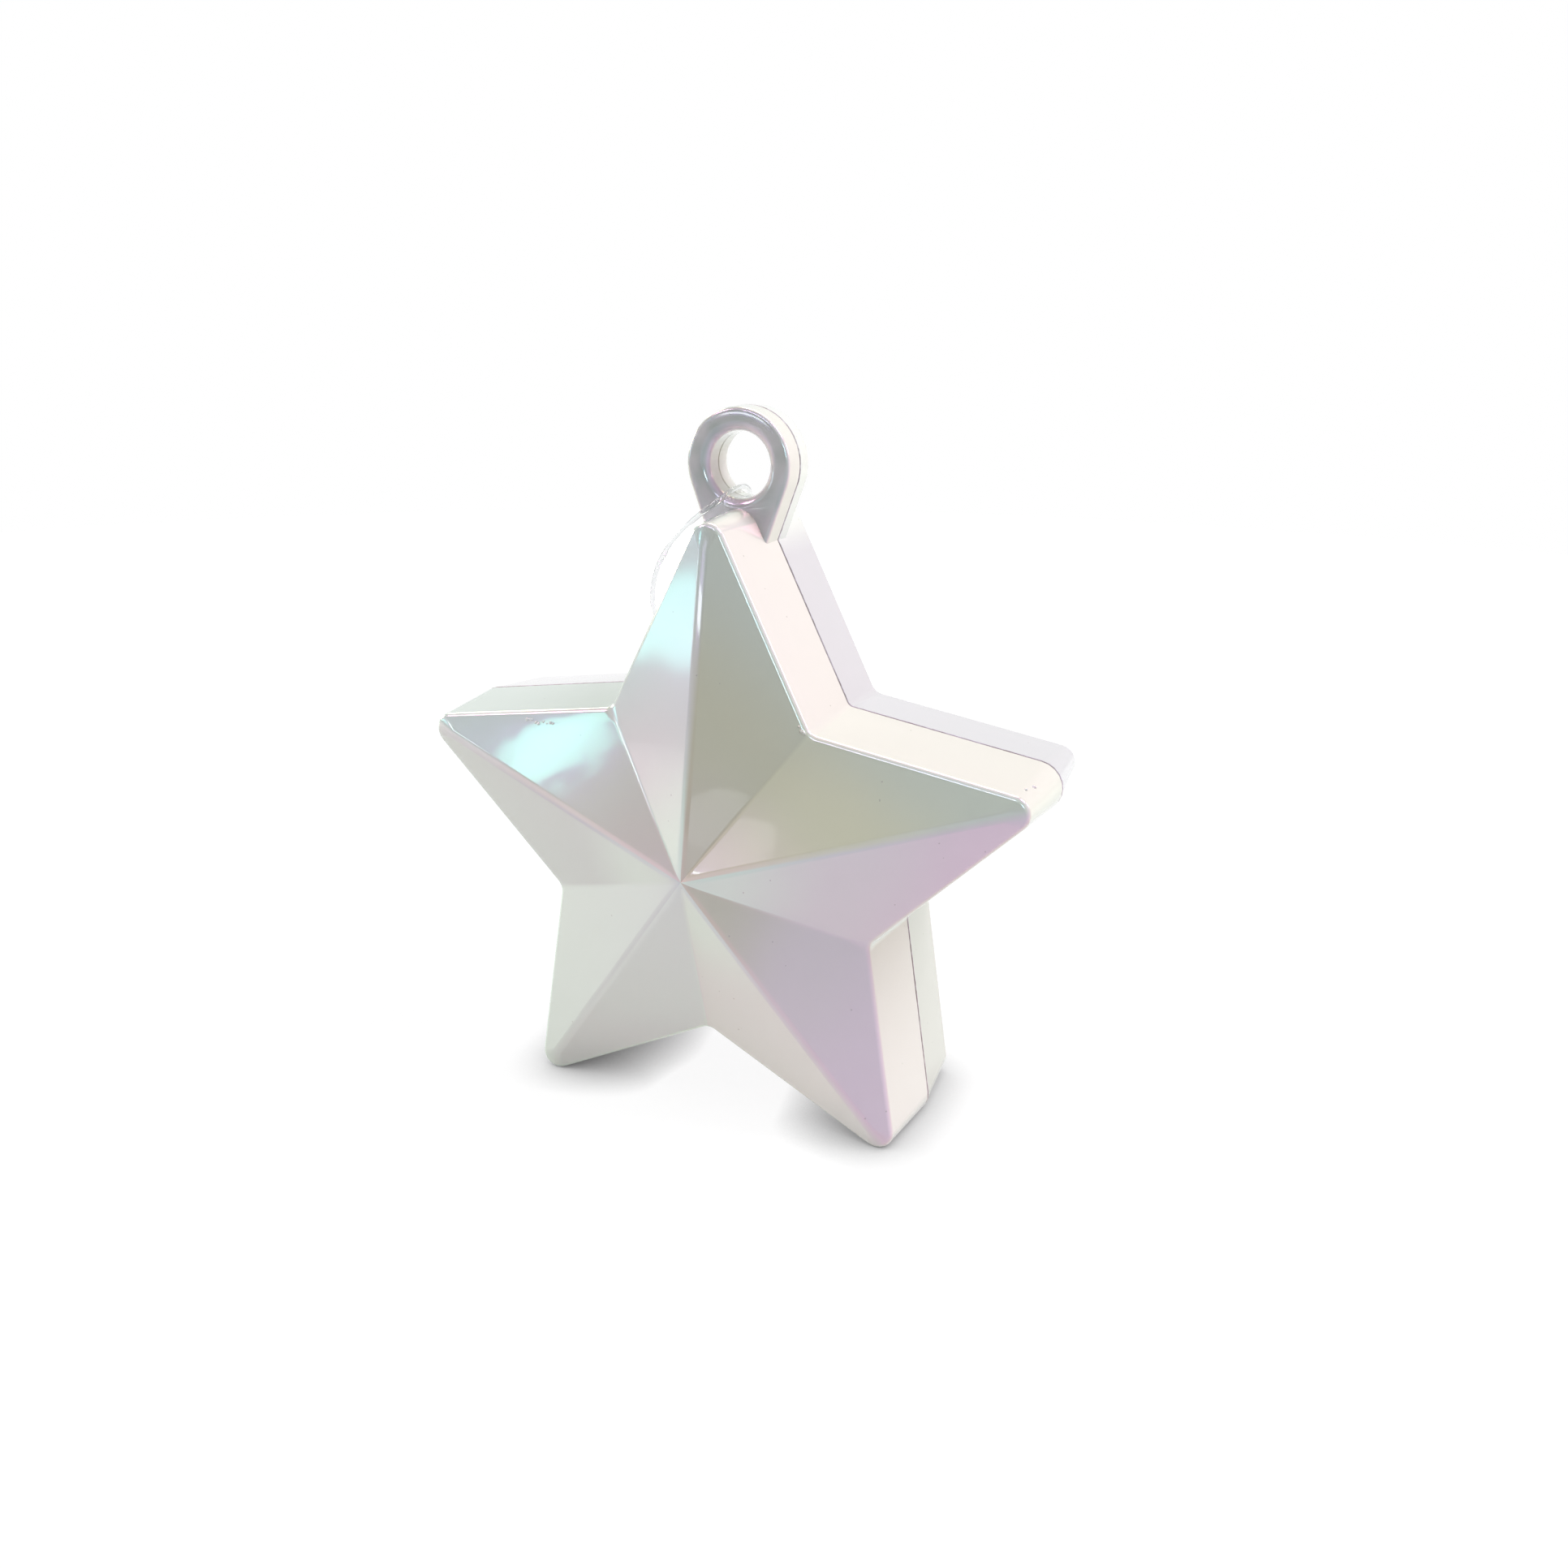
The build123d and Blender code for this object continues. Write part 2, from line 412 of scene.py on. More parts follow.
@dataclass
class StarShells:
    """The two glued half shells with their halves of the hanging eye."""

    form: StarForm
    eye: HangingEye
    material: Material
    shell_wall: float = 1.8 * MM
    cavity_tip_round: float = 2.0 * MM
    cavity_cap: float = 0.1
    seam_gap: float = 0.03 * MM
    seam_bevel: float = 0.16 * MM
    rim_round: float = 0.48 * MM
    rim_segments: int = 5
    ridge_round: float = 0.75 * MM
    apex_round: float = 0.9 * MM
    crown_shares: tuple[float, ...] = (0.9, 0.6, 0.3, 0.16, 0.1, 0.065, 0.04, 0.02)
    weld: float = 0.002 * MM
    smooth_angle: float = math.radians(32.0)

    def crown_depth(self, side: float, inset: float) -> float:
        """Depth of the facets where their contour lies at the given side distance."""
        slope, apex = self.form.facet_slope, self.form.apex_depth
        return apex - inset * math.hypot(1.0, slope) - slope * math.hypot(side, self.apex_round)

    def outside(self) -> Object:
        """Builds the outer form of one half star.

        Returns:
            The closed solid.
        """
        form = self.form
        bm = bmesh.new()
        land = first_ring(bm, form.wall(self.seam_gap, self.seam_bevel))
        bmesh.ops.contextual_create(bm, geom=ring_edges(bm, land))
        lip_depth = self.seam_gap + self.seam_bevel
        lip = next_ring(bm, land, form.wall(lip_depth, lip_depth * math.tan(form.wall_draft)))
        rim = next_ring(bm, lip, form.wall(form.wall_depth, form.rim_inset))
        ring = rim
        rim_side = form.side_distance - form.rim_inset
        for share in self.crown_shares:
            side = rim_side * share
            bend = min(self.ridge_round, side / 2)
            ring = next_ring(bm, ring, form.contour(self.crown_depth(side, 0.0), side, bend, bend))
        apex = Vector((0.0, -self.crown_depth(0.0, 0.0), form.centre_height))
        bmesh.ops.pointmerge(bm, verts=ring, merge_co=apex)
        round_edges(bm, ring_edges(bm, rim), self.rim_round, self.rim_segments)
        return object_of(bm, "half_star")

    def cavity(self) -> Object:
        """Builds the hollow of one half star.

        Returns:
            The closed solid.
        """
        form = self.form
        bm = bmesh.new()
        inset = self.shell_wall
        tip, notch = self.cavity_tip_round, form.notch_round
        mouth = form.contour(-self.seam_gap, form.side_distance - inset, tip, notch)
        rim_side = form.side_distance - form.rim_inset - inset
        rim = form.contour(self.crown_depth(rim_side, inset), rim_side, tip / 2, notch)
        ring = first_ring(bm, mouth)
        bmesh.ops.contextual_create(bm, geom=ring_edges(bm, ring))
        ring = next_ring(bm, ring, rim)
        apex = Vector((0.0, -self.crown_depth(0.0, inset), form.centre_height))
        ring = next_ring(bm, ring, [apex.lerp(place, self.cavity_cap) for place in rim])
        bmesh.ops.pointmerge(bm, verts=ring, merge_co=apex)
        return object_of(bm, "half_cavity")

    def half_shell(self) -> Mesh:
        """Builds one hollow half shell with its half eye and flat feet.

        Returns:
            The shell's mesh.
        """
        shell = self.outside()
        combine(shell, self.eye.build(self.seam_gap, self.seam_bevel), "UNION")
        combine(shell, self.cavity(), "DIFFERENCE")
        bm = bmesh.new()
        bm.from_mesh(shell.data)
        bmesh.ops.remove_doubles(bm, verts=bm.verts, dist=self.weld)
        cut_at_floor(bm)
        bpy.data.objects.remove(shell)
        return mesh_of(bm, "half_shell")

    def build(self) -> list[Object]:
        """Builds both shells and dresses them.

        Returns:
            The front and the rear shell.
        """
        mould = self.half_shell()
        shells = []
        for half, node in ((Half.FRONT, "front_shell"), (Half.REAR, "rear_shell")):
            mesh = mould.copy()
            mesh.transform(Matrix.Rotation(half.value, 4, "Z"))
            mesh.materials.clear()
            mesh.materials.append(self.material)
            mesh.shade_smooth()
            mesh.set_sharp_from_angle(angle=self.smooth_angle)
            piece = new_object(f"pearl_{node}", mesh)
            piece.modifiers.new("flat_facets", "WEIGHTED_NORMAL").keep_sharp = True
            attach(piece, Body.STAR.value)
            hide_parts(node)
            shells.append(piece)
        return shells


@dataclass
class SeamGlue:
    """Thread of dried glue that shows in the groove between the shells."""

    form: StarForm
    material: Material
    inset: float = 0.1 * MM
    half_width: float = 0.11 * MM
    crown: float = 0.04 * MM
    lump: float = 0.06 * MM
    lump_scale: float = 700.0
    side_cuts: int = 36

    def build(self) -> Object:
        """Builds the thread as a closed, uneven ring that ends at the feet's flats.

        Returns:
            The thread.
        """
        form = self.form
        bm = bmesh.new()
        front = first_ring(bm, form.wall(self.half_width, self.inset))
        top = next_ring(bm, front, form.wall(0.0, self.inset - self.crown))
        rear = next_ring(bm, top, form.wall(-self.half_width, self.inset))
        under = next_ring(bm, rear, form.wall(0.0, self.inset + self.half_width))
        bmesh.ops.bridge_loops(bm, edges=ring_edges(bm, under) + ring_edges(bm, front))
        sides = [edge for edge in bm.edges if edge.calc_length() > form.tip_round]
        bmesh.ops.subdivide_edges(bm, edges=sides, cuts=self.side_cuts, use_grid_fill=True)
        bm.normal_update()
        for vert in bm.verts:
            vert.co += vert.normal * self.lump * noise.noise(vert.co * self.lump_scale)
        cut_at_floor(bm)
        thread = object_of(bm, "seam_glue")
        thread.data.materials.append(self.material)
        thread.data.shade_smooth()
        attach(thread, Body.STAR.value)
        return thread


@dataclass
class LacquerBlisters:
    """Tiny bubbles that dried in the lacquer beside the front shell's rims.

    Each row has a start and an end, across and up from the star's centre in millimetres, and a count.
    """

    form: StarForm
    material: Material
    radius: float = 0.21 * MM
    height: float = 0.11 * MM
    scatter: float = 0.35 * MM
    sizes: Span = (0.55, 1.1)
    segments: tuple[int, int] = (10, 6)
    seed: int = 11
    rows: tuple[tuple[float, float, float, float, int], ...] = (
        (-24.6, 14.8, -20.4, 14.9, 11),
        (11.5, 18.6, 12.5, 17.8, 5),
        (37.2, 14.9, 38.7, 15.3, 4),
    )

    def build(self) -> Object:
        """Builds the bubbles of every row as one piece.

        Returns:
            The bubbles.
        """
        chance = random.Random(self.seed)
        turns, rings = self.segments
        bm = bmesh.new()
        for across, up, end_across, end_up, count in self.rows:
            for index in range(count):
                share = (index + chance.random()) / count
                spread = self.scatter * chance.uniform(-1.0, 1.0)
                place_across = (across + (end_across - across) * share) * MM
                place_up = (up + (end_up - up) * share) * MM - abs(spread)
                size = chance.uniform(*self.sizes)
                shape = Matrix.Diagonal((self.radius * size, self.radius * size, self.height * size, 1.0))
                placed = self.form.facet_frame(place_across, place_up) @ shape
                bmesh.ops.create_uvsphere(bm, u_segments=turns, v_segments=rings, radius=1.0, matrix=placed)
        bubbles = object_of(bm, "lacquer_blisters")
        bubbles.data.materials.append(self.material)
        bubbles.data.shade_smooth()
        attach(bubbles, Body.STAR.value)
        return bubbles


@dataclass
class TagLoop:
    """Clear filament through the eye, closed by a snap lock behind the top arm."""

    eye: HangingEye
    material: Material
    diameter: float = 0.6 * MM
    length: float = 62.5 * MM
    round_steps: int = 5
    run_steps: int = 12
    lock_width: float = 3.0 * MM
    lock_thickness: float = 2.4 * MM
    lock_nose: float = 1.5 * MM
    lock_taper: float = 1.4 * MM
    lock_round: float = 0.35 * MM
    lock_segments: int = 3
    smooth_angle: float = math.radians(40.0)
    window_length: float = 2.0 * MM
    window_width: float = 1.2 * MM
    route: tuple[Point, ...] = (
        (-13.1, 7.0, -21.57), (-13.65, 5.46, -21.57), (-14.2, 3.95, -20.67), (-14.45, 3.0, -18.97),
        (-14.0, 1.9, -16.97), (-12.8, 0.3, -14.47), (-11.2, -1.3, -12.27), (-9.0, -2.8, -9.77),
        (-6.3, -3.7, -7.27), (-3.9, -3.95, -5.37), (-1.9, -3.85, -3.97), (-1.1, -2.6, -3.02),
        (-1.0, -0.6, -2.72), (-1.1, 1.6, -2.82), (-1.6, 3.8, -3.52), (-2.8, 6.4, -5.07),
        (-4.3, 9.3, -7.57), (-5.9, 12.2, -10.57), (-7.3, 14.6, -13.77), (-8.6, 16.1, -16.67),
        (-9.6, 16.6, -18.97), (-10.0, 15.7, -20.67), (-10.55, 14.14, -21.57), (-11.1, 12.6, -21.57),
    )

    def places(self) -> list[Vector]:
        """The route's points, which are given in millimetres from the eye's centre."""
        centre = Vector((0.0, 0.0, self.eye.height))
        return [centre + Vector(point) * MM for point in self.route]

    def build_filament(self) -> Object:
        """Builds the filament as a smooth curve along the route.

        Returns:
            The curve.
        """
        curve = bpy.data.curves.new("loop_filament", "CURVE")
        curve.dimensions = "3D"
        curve.bevel_depth = self.diameter / 2
        curve.bevel_resolution = self.round_steps
        curve.resolution_u = self.run_steps
        curve.use_fill_caps = True
        places = self.places()
        spline = curve.splines.new("NURBS")
        spline.points.add(len(places) - 1)
        for point, place in zip(spline.points, places):
            point.co = (*place, 1.0)
        spline.order_u = 3
        spline.use_endpoint_u = True
        curve.materials.append(self.material)
        filament = new_object("loop_filament", curve)
        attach(filament, Body.TAG_LOOP.value)
        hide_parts("hang_loop")
        return filament

    def lock_frame(self) -> Matrix:
        """Finds the lock's place between the filament's two ends.

        Returns:
            The frame at the lock's middle, with Z along the lock.
        """
        places = self.places()
        axis = places[0] - places[-1]
        across = axis.cross(Vector((0.0, 0.0, 1.0))).normalized()
        turn = Matrix((across, axis.normalized().cross(across), axis.normalized())).transposed().to_4x4()
        return Matrix.Translation((places[0] + places[-1]) / 2) @ turn

    def build_lock(self) -> Object:
        """Builds the snap lock between the filament's two ends.

        Returns:
            The lock.
        """
        placed = self.lock_frame()
        places = self.places()
        waist = (places[0] - places[-1]).length - 2 * self.lock_taper
        bm = bmesh.new()
        bmesh.ops.create_cube(bm, size=1.0)
        bmesh.ops.scale(bm, vec=Vector((self.lock_width, self.lock_thickness, waist)), verts=bm.verts)
        ends = [face for face in bm.faces if abs(face.normal.z) > 0.5]
        for end in ends:
            outward = end.normal.copy()
            nose = bmesh.ops.extrude_discrete_faces(bm, faces=[end])["faces"][0]
            bmesh.ops.translate(bm, vec=outward * self.lock_taper, verts=nose.verts)
            for vert in nose.verts:
                vert.co.x *= self.lock_nose / self.lock_width
                vert.co.y *= self.lock_nose / self.lock_thickness
        round_edges(bm, bm.edges[:], self.lock_round, self.lock_segments)
        bmesh.ops.transform(bm, matrix=placed, verts=bm.verts)
        lock = object_of(bm, "snap_lock")
        window = bmesh.new()
        bmesh.ops.create_cube(window, size=1.0)
        window_size = Vector((self.window_width, 2 * self.lock_thickness, self.window_length))
        bmesh.ops.scale(window, vec=window_size, verts=window.verts)
        bmesh.ops.transform(window, matrix=placed, verts=window.verts)
        combine(lock, object_of(window, "latch_window"), "DIFFERENCE")
        lock.data.materials.clear()
        lock.data.materials.append(self.material)
        lock.data.shade_smooth()
        lock.data.set_sharp_from_angle(angle=self.smooth_angle)
        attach(lock, Body.TAG_LOOP.value)
        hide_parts("loop_lock")
        return lock

    def build(self) -> list[Object]:
        """Returns:
            The filament and the lock.
        """
        filament = self.build_filament()
        lock = self.build_lock()
        return [filament, lock]


class Graph:
    """A node tree with short calls that add and join its nodes.

    The colours of a mix node have only numbers to tell them from its other inputs and outputs.
    """

    mix_inputs: tuple[int, ...] = (0, 6, 7)
    mix_result: int = 2

    def __init__(self, tree: NodeTree) -> None:
        """Starts with an empty tree."""
        self.tree = tree
        tree.nodes.clear()

    def add(self, kind: str, inputs: dict | None = None, **settings: object) -> Node:
        """Adds a node.

        Args:
            kind: The node's type, without the leading ShaderNode.
            inputs: Values or sockets by the input's name or number. A colour has three numbers.
            settings: The node's own properties.

        Returns:
            The node.
        """
        node = self.tree.nodes.new(kind if kind.startswith("NodeGroup") else f"ShaderNode{kind}")
        for name, value in settings.items():
            setattr(node, name, value)
        for key, value in (inputs or {}).items():
            socket = node.inputs[key]
            if isinstance(value, NodeSocket):
                self.tree.links.new(value, socket)
            else:
                socket.default_value = (*value, 1.0) if socket.type == "RGBA" else value
        return node

    def place(self) -> NodeSocket:
        """Object coordinates of the shaded point."""
        return self.add("TexCoord").outputs["Object"]

    def axes(self, vector: NodeSocket) -> list[NodeSocket]:
        """The X, Y and Z values of a vector."""
        return list(self.add("SeparateXYZ", {"Vector": vector}).outputs)

    def math(self, operation: str, *values: Value) -> NodeSocket:
        """Result of a math node on the given values."""
        return self.add("Math", dict(enumerate(values)), operation=operation).outputs[0]

    def product(self, first: NodeSocket, *others: Value) -> NodeSocket:
        """Product of all the given values."""
        return reduce(lambda left, right: self.math("MULTIPLY", left, right), others, first)

    def length(self, **parts: Value) -> NodeSocket:
        """Length of the vector that has the given X, Y and Z parts."""
        vector = self.add("CombineXYZ", parts).outputs[0]
        return self.add("VectorMath", {0: vector}, operation="LENGTH").outputs["Value"]

    def noise(self, place: NodeSocket, scale: float, detail: float) -> NodeSocket:
        """Value of a noise texture."""
        return self.add("TexNoise", {"Vector": place, "Scale": scale, "Detail": detail}).outputs["Fac"]

    def bump(self, height: NodeSocket, strength: float, distance: float) -> NodeSocket:
        """Normal of a surface that rises by the given height."""
        inputs = {"Height": height, "Strength": strength, "Distance": distance}
        return self.add("Bump", inputs).outputs["Normal"]

    def remap(self, value: NodeSocket, span: Span, result: Span = RISING, smooth: bool = False) -> NodeSocket:
        """Maps a value from one range to another, and holds it at both ends.

        Args:
            value: The value.
            span: Where the value's range starts and ends.
            result: What these two become.
            smooth: Whether the change eases in and out.

        Returns:
            The mapped value.
        """
        names = ("From Min", "From Max", "To Min", "To Max")
        inputs = {"Value": value} | dict(zip(names, (*span, *result)))
        kind = "SMOOTHSTEP" if smooth else "LINEAR"
        return self.add("MapRange", inputs, interpolation_type=kind).outputs[0]

    def mix(self, share: NodeSocket, first: Paint, second: Paint) -> NodeSocket:
        """Mix of two colours, where share 1 is the second."""
        inputs = dict(zip(self.mix_inputs, (share, first, second)))
        return self.add("Mix", inputs, data_type="RGBA").outputs[self.mix_result]

    def ramp(self, factor: NodeSocket, stops: list[tuple[float, Colour]]) -> NodeSocket:
        """Adds a colour ramp.

        Args:
            factor: What drives the ramp.
            stops: Positions with their colours.

        Returns:
            The ramp's colour.
        """
        node = self.add("ValToRGB", {"Fac": factor})
        elements = node.color_ramp.elements
        while len(elements) < len(stops):
            elements.new(1.0)
        for element, (position, colour) in zip(elements, stops):
            element.position = position
            element.color = (*colour, 1.0)
        return node.outputs["Color"]

    def surface(self, kind: str, inputs: dict) -> None:
        """Adds a shader of the given kind and joins it to the material's output."""
        self.add("OutputMaterial", {"Surface": self.add(kind, inputs).outputs[0]})


def new_material(name: str) -> tuple[Material, Graph]:
    """Starts an empty node material.

    Args:
        name: Name of the material.

    Returns:
        The material and its graph.
    """
    material = bpy.data.materials.new(name)
    material.use_nodes = True
    return material, Graph(material.node_tree)


@dataclass(frozen=True)
class DustSpecks:
    """Node group that scatters specks of dust, shared by the finishes."""

    scale: float
    share: float
    size: float
    name: str = "dust_specks"
    raggedness: float = 0.25 * MM
    ragged_scale: float = 3000.0

    def tree(self) -> NodeTree:
        """The group's tree, built when it is first asked for."""
        return bpy.data.node_groups.get(self.name) or self.build()

    def build(self) -> NodeTree:
        """Builds the group.

        Returns:
            The group's tree, whose mask is 1 on a speck and 0 elsewhere.
        """
        tree = bpy.data.node_groups.new(self.name, "ShaderNodeTree")
        tree.interface.new_socket("Place", in_out="INPUT", socket_type="NodeSocketVector")
        for label in ("Scale", "Share", "Size"):
            tree.interface.new_socket(label, in_out="INPUT", socket_type="NodeSocketFloat")
        tree.interface.new_socket("Mask", in_out="OUTPUT", socket_type="NodeSocketFloat")
        graph = Graph(tree)
        given = graph.add("NodeGroupInput").outputs
        shift = graph.add("TexNoise", {"Vector": given["Place"], "Scale": self.ragged_scale}).outputs["Color"]
        scaled = graph.add("VectorMath", {0: shift, "Scale": self.raggedness}, operation="SCALE").outputs[0]
        place = graph.add("VectorMath", {0: given["Place"], 1: scaled}, operation="ADD").outputs[0]
        cells = graph.add("TexVoronoi", {"Vector": place, "Scale": given["Scale"]}).outputs
        near = graph.math("LESS_THAN", cells["Distance"], graph.product(given["Size"], given["Scale"]))
        draw = graph.add("SeparateColor", {"Color": cells["Color"]}).outputs["Red"]
        kept = graph.math("LESS_THAN", draw, given["Share"])
        graph.add("NodeGroupOutput", {"Mask": graph.product(near, kept)})
        return tree

    def mask(self, graph: Graph, place: NodeSocket) -> NodeSocket:
        """Mask of the specks in a material, at the given object coordinates."""
        values = {"Place": place, "Scale": self.scale, "Share": self.share, "Size": self.size}
        return graph.add("Group", values, node_tree=self.tree()).outputs["Mask"]


class PearlTint(Enum):
    """Tints of the pearl plastic, which besides its own colour carry the painted sheen and painted shade of
    the facets and walls, and the painted reflection on the eye.
    """

    SAGE = (0.755, 0.75, 0.575)
    TEAL = (0.665, 0.718, 0.638)
    SLATE = (0.65, 0.69, 0.63)
    BLUSH = (0.855, 0.755, 0.63)
    MINT = (0.715, 0.84, 0.775)
    FOAM = (0.77, 0.92, 0.80)
    MIST = (0.635, 0.738, 0.705)
    LILAC = (0.76, 0.67, 0.74)
    HEATHER = (0.745, 0.685, 0.705)
    CELADON = (0.70, 0.79, 0.76)
    PETAL = (0.83, 0.77, 0.80)
    ORCHID = (0.74, 0.71, 0.76)
    CHALK = (0.88, 0.86, 0.88)
    TAUPE = (0.76, 0.755, 0.68)
    FAWN = (0.74, 0.68, 0.64)
    DOVE = (0.63, 0.575, 0.58)
    PLAIN = (0.73, 0.74, 0.74)
    CREAM = (0.84, 0.80, 0.80)
    LAVENDER = (0.66, 0.59, 0.71)
    MOSS = (0.64, 0.625, 0.49)
    SAND = (0.65, 0.59, 0.475)
    PEWTER = (0.55, 0.60, 0.62)
    SMOKE = (0.60, 0.60, 0.59)
    OLIVE = (0.42, 0.49, 0.44)


Tints = tuple[PearlTint, ...]


def tints(names: str) -> Tints:
    """The tints with the given names, in order."""
    return tuple(PearlTint[name] for name in names.split())


class StarGraph(Graph):
    """A material's graph with sockets that tell where the shaded point lies on the star."""

    def __init__(self, tree: NodeTree, form: StarForm, eye: HangingEye) -> None:
        """Works out where the shaded point lies.

        Args:
            tree: The material's tree.
            form: The star's plan.
            eye: The hanging eye.
        """
        super().__init__(tree)
        self.point = self.place()
        centre = (0.0, 0.0, form.centre_height)
        from_centre = self.add("VectorMath", {0: self.point, 1: centre}, operation="SUBTRACT").outputs[0]
        self.across, self.behind, self.up = self.axes(from_centre)
        self.depth = self.math("ABSOLUTE", self.behind)
        self.turn = self.remap(self.math("ARCTAN2", self.across, self.up), (-math.pi, math.pi))
        above_eye = self.math("SUBTRACT", self.up, eye.height - form.centre_height)
        self.from_eye = self.length(X=self.across, Z=above_eye)


@dataclass(frozen=True)
class PearlFinish:
    """Glossy pearl-white plastic with a thin interference film.

    Rows of tints run clockwise from the bottom notch, with one tint for each facet or wall. Besides the
    plastic's own colour, the facet rows hold the film's sheen and each facet's light as painted sheen and
    painted shade, and the wall rows hold painted shade.
    """

    form: StarForm
    eye: HangingEye
    roughness: float = 0.16
    index: float = 1.75
    film_thickness: float = 500.0
    film_index: float = 1.45
    coat_roughness: float = 0.025
    wave_scale: float = 110.0
    wave_height: float = 0.04 * MM
    # Facet tints: the plastic's own colour, plus the film's sheen as seen from one side and each facet's
    # share of light, both painted into the base colour.
    inner_tints_and_sheen: Tints = tints("MINT MIST MIST FAWN FOAM SAND BLUSH FOAM MOSS MINT")
    middle_tints_and_sheen: Tints = tints("MINT MIST PEWTER TAUPE PLAIN MOSS SAGE PLAIN HEATHER PLAIN")
    outer_tints_and_sheen: Tints = tints("CELADON MIST PEWTER CELADON MIST SLATE TEAL LILAC LILAC PLAIN")
    inner_band: Span = (4 * MM, 18 * MM)
    outer_band: Span = (18 * MM, 34 * MM)
    reach_share: float = 0.7
    rim_reach: float = 10 * MM
    drift: float = 7 * MM
    drift_scale: float = 45.0
    sector_blend: float = 0.012
    # Wall tints: the walls that face left are painted grey as painted shade, and the rear shell's walls are
    # painted a darker lavender, a shaded copy of the front walls' plastic.
    front_wall_tints_and_shade: Tints = tints("CREAM PEWTER PEWTER PEWTER PEWTER CREAM CREAM CREAM PETAL PETAL")
    rear_wall_tints_and_shade: Tints = tints("LAVENDER " * 8 + "DOVE DOVE")
    rim_blend: float = 0.5 * MM
    bore_tint: PearlTint = PearlTint.ORCHID
    bore_margin: float = 0.6 * MM
    # Painted light: the eye's rear half, and the shell just under it, are painted near white.
    rear_eye_painted_light: PearlTint = PearlTint.CHALK
    rear_eye_light_fade: Span = (6.6 * MM, 12 * MM)
    # Painted reflection: the eye's flat faces get dark olive and smoke patches for the dim room that they
    # mirror.
    eye_reflection_tints: Tints = tints("OLIVE SMOKE")
    eye_reflection_stops: Span = (0.4, 0.62)
    eye_reflection_scale: float = 210.0
    eye_face_fade: Span = (11 * MM, 14 * MM)
    eye_face_edge: Span = (-0.5 * MM, -0.1 * MM)
    eye_face_top: float = 0.05 * MM
    eye_face_turn: Span = (0.35, 0.75)
    # A darker line along the seam groove.
    seam_dark: Colour = (0.20, 0.16, 0.14)
    seam_dark_edge: Span = (0.12 * MM, 0.22 * MM)
    seam_dark_wander: float = 0.14 * MM
    seam_dark_scale: float = 1100.0
    seam_dark_patch_scale: float = 160.0
    seam_dark_patches: Span = (0.3, 0.6)
    seam_dark_strength: Span = (0.45, 0.85)
    dust: Colour = (0.36, 0.34, 0.33)
    dust_strength: float = 0.45
    specks: DustSpecks = DustSpecks(scale=420.0, share=0.5, size=0.11 * MM)

    def sectors(self, graph: StarGraph, row: Tints) -> NodeSocket:
        """Colours the sectors round the star's centre.

        Args:
            graph: The material's graph.
            row: One tint for each sector.

        Returns:
            The colour.
        """
        share = 1.0 / len(row)
        blend = self.sector_blend * share
        stops = []
        for index, tint in enumerate(row):
            stops.append((index * share + blend, tint.value))
            stops.append(((index + 1) * share - blend, tint.value))
        return graph.ramp(graph.turn, stops)

    def facets(self, graph: StarGraph) -> NodeSocket:
        """Tints the facets, which change from the apex to the tips: the plastic's own colour with painted
        sheen and painted shade.

        Args:
            graph: The material's graph.

        Returns:
            The colour.
        """
        cloud = graph.noise(graph.point, self.drift_scale, detail=2.0)
        drift = graph.remap(cloud, RISING, (-self.drift, self.drift))
        reach = graph.math("ADD", graph.length(X=graph.across, Z=graph.up), drift)
        along = graph.math("MULTIPLY", reach, self.reach_share)
        depths = (self.form.wall_depth, self.form.apex_depth)
        reach = graph.math("ADD", along, graph.remap(graph.depth, depths, (self.rim_reach, 0.0)))
        rows = (self.inner_tints_and_sheen, self.middle_tints_and_sheen, self.outer_tints_and_sheen)
        inner, middle, outer = (self.sectors(graph, row) for row in rows)
        centre = graph.mix(graph.remap(reach, self.inner_band, smooth=True), inner, middle)
        return graph.mix(graph.remap(reach, self.outer_band, smooth=True), centre, outer)

    def walls(self, graph: StarGraph) -> NodeSocket:
        """Tints the walls, the bore of the eye, and the eye's rear half. The left and rear walls get painted
        shade, and the eye's rear half is painted paler as painted light.

        Args:
            graph: The material's graph.

        Returns:
            The colour.
        """
        # Front and rear wall tints, with painted shade on the left and rear walls.
        rear = graph.math("GREATER_THAN", graph.behind, 0.0)
        front_wall = self.sectors(graph, self.front_wall_tints_and_shade)
        wall = graph.mix(rear, front_wall, self.sectors(graph, self.rear_wall_tints_and_shade))
        bore = graph.math("LESS_THAN", graph.from_eye, self.eye.bore_radius + self.bore_margin)
        wall = graph.mix(bore, wall, self.bore_tint.value)
        # Painted light on the eye's rear half, fading out below it.
        near_eye = graph.remap(graph.from_eye, self.rear_eye_light_fade, FALLING, smooth=True)
        return graph.mix(graph.product(near_eye, rear), wall, self.rear_eye_painted_light.value)

    def seam_darkening(self, graph: StarGraph) -> NodeSocket:
        """Mask of a darker line along the seam groove, of uneven width and strength.

        Args:
            graph: The material's graph.

        Returns:
            The mask.
        """
        fine = graph.noise(graph.point, self.seam_dark_scale, detail=2.0)
        uneven = graph.remap(fine, RISING, (-self.seam_dark_wander, self.seam_dark_wander))
        line = graph.remap(graph.math("ADD", graph.depth, uneven), self.seam_dark_edge, FALLING)
        broad = graph.noise(graph.point, self.seam_dark_patch_scale, detail=1.0)
        return graph.product(line, graph.remap(broad, self.seam_dark_patches, self.seam_dark_strength))

